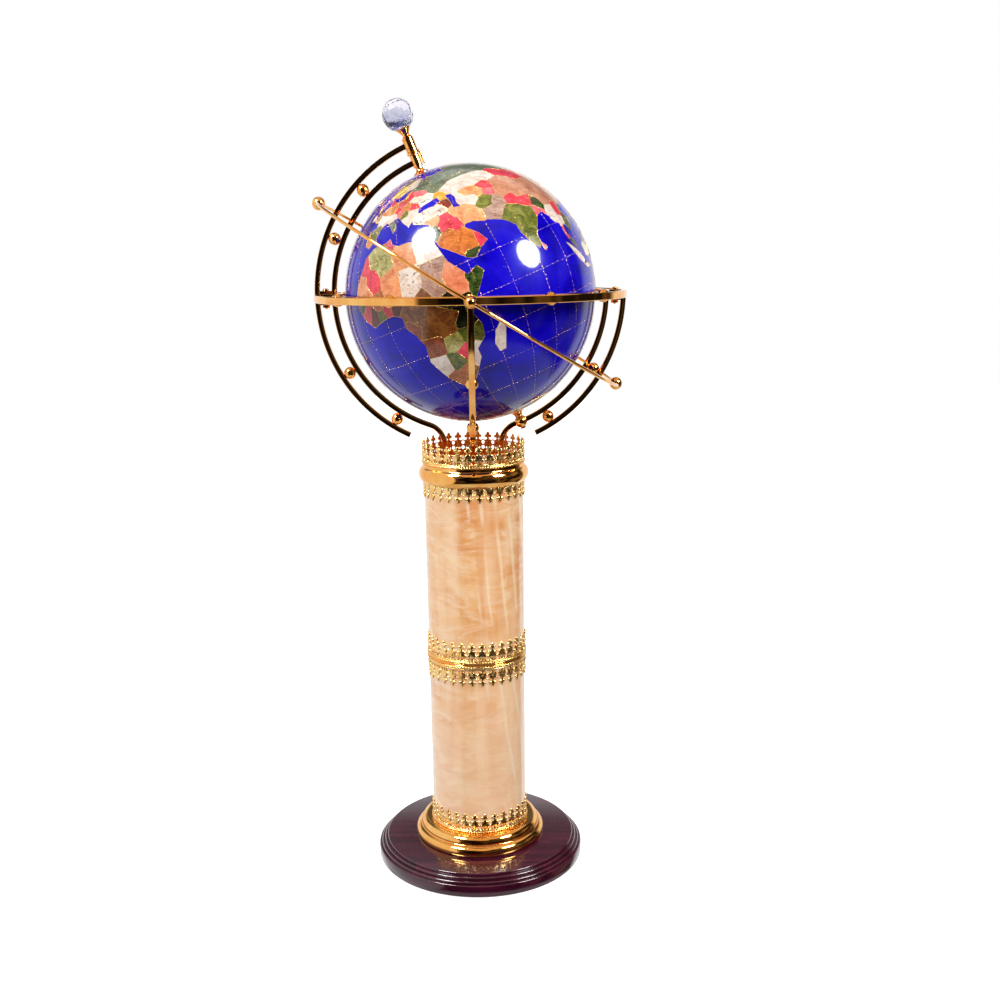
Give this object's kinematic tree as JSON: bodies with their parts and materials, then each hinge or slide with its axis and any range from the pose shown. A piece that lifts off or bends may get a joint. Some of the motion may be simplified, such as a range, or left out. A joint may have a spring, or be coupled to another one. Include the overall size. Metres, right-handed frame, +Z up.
{
  "type": "desktop globe on stand",
  "caption": "Gemstone globe turning in an armillary cradle of double gilt rails with a tilting ring, on a tall onyx column with pierced galleries and a round wooden base.",
  "frame": {"origin": "on the surface it stands on, under the middle of the base", "axes": "+Z up along the column, front at -Y, the polar axis leans towards -X"},
  "size_m": [0.2746, 0.3224, 0.7042],
  "materials": {
    "gilt_brass": "polished gilt, mirror bright",
    "gallery_gilt": "pale gilt stamping, bright",
    "steel": "zinc plated",
    "onyx": "polished, honey and peach bands",
    "globe_stone": "polished lapis-blue ocean with inlaid stones",
    "core_resin": "cast resin",
    "lacquered_wood": "high-gloss cherry lacquer",
    "felt": "wool felt",
    "crystal": "cut and polished",
    "nylon": "moulded"
  },
  "bodies": {
    "stand": {"base_felt": "felt", "base_plinth": "lacquered_wood", "column_foot": "gilt_brass", "foot_register": "steel", "foot_gallery": "gallery_gilt", "lower_column": "onyx", "mid_joint_disc": "gilt_brass", "mid_gallery_lower": "gallery_gilt", "mid_gallery_upper": "gallery_gilt", "upper_column": "onyx", "neck_gallery": "gallery_gilt", "capital_ring": "gilt_brass", "crown_gallery": "gallery_gilt", "top_plate": "gilt_brass", "tie_rod": "steel", "tie_rod_washers": "steel", "tie_rod_nut": "steel", "tie_rod_cap_nut": "gilt_brass", "leg_left_inner": "gilt_brass", "leg_left_outer": "gilt_brass", "leg_front_inner": "gilt_brass", "leg_front_outer": "gilt_brass", "leg_right_inner": "gilt_brass", "leg_right_outer": "gilt_brass", "leg_back_inner": "gilt_brass", "leg_back_outer": "gilt_brass", "meridian_inner": "gilt_brass", "meridian_outer": "gilt_brass", "rail_balls": "gilt_brass", "horizon_outer_ring": "gilt_brass", "horizon_inner_ring": "gilt_brass", "horizon_bridges": "gilt_brass", "horizon_balls": "gilt_brass", "rail_plates": "gilt_brass", "clamp_screws": "gilt_brass", "clamp_nuts": "gilt_brass", "leg_screws": "steel", "polar_spindle": "gilt_brass", "north_lower_sleeve": "gilt_brass", "north_upper_sleeve": "gilt_brass", "finial_cup": "gilt_brass", "crystal_ball": "crystal", "south_ball_boss": "gilt_brass", "south_pivot_pin": "gilt_brass", "south_thrust_washer": "nylon", "pivot_studs": "gilt_brass", "stud_spacers": "gilt_brass", "ball_knobs": "gilt_brass"},
    "globe": {"globe_core_north": "core_resin", "globe_core_south": "core_resin", "equator_band": "core_resin", "stone_shell_north": "globe_stone", "stone_shell_south": "globe_stone", "pole_bushings": "gilt_brass", "north_pole_cap": "gilt_brass", "south_pole_cap": "gilt_brass"},
    "ecliptic": {"ecliptic_ring": "gilt_brass", "ecliptic_beads": "gilt_brass"},
    "pointer": {"index_pointer": "gilt_brass"}
  },
  "joints": [
    {"name": "globe_spin", "type": "hinge", "parent": "stand", "child": "globe", "pos_m": [0, 0, 0.5414], "axis": [-0.3665, 0, 0.9304], "continuous": true},
    {"name": "ecliptic_tilt", "type": "hinge", "parent": "stand", "child": "ecliptic", "pos_m": [0, 0, 0.5414], "axis": [0, 1, 0], "range_deg": [-98, 29]},
    {"name": "pointer_turn", "type": "hinge", "parent": "stand", "child": "pointer", "pos_m": [-0.04673, 0, 0.66003], "axis": [-0.3665, 0, 0.9304], "range_deg": [-130, 130]}
  ]
}
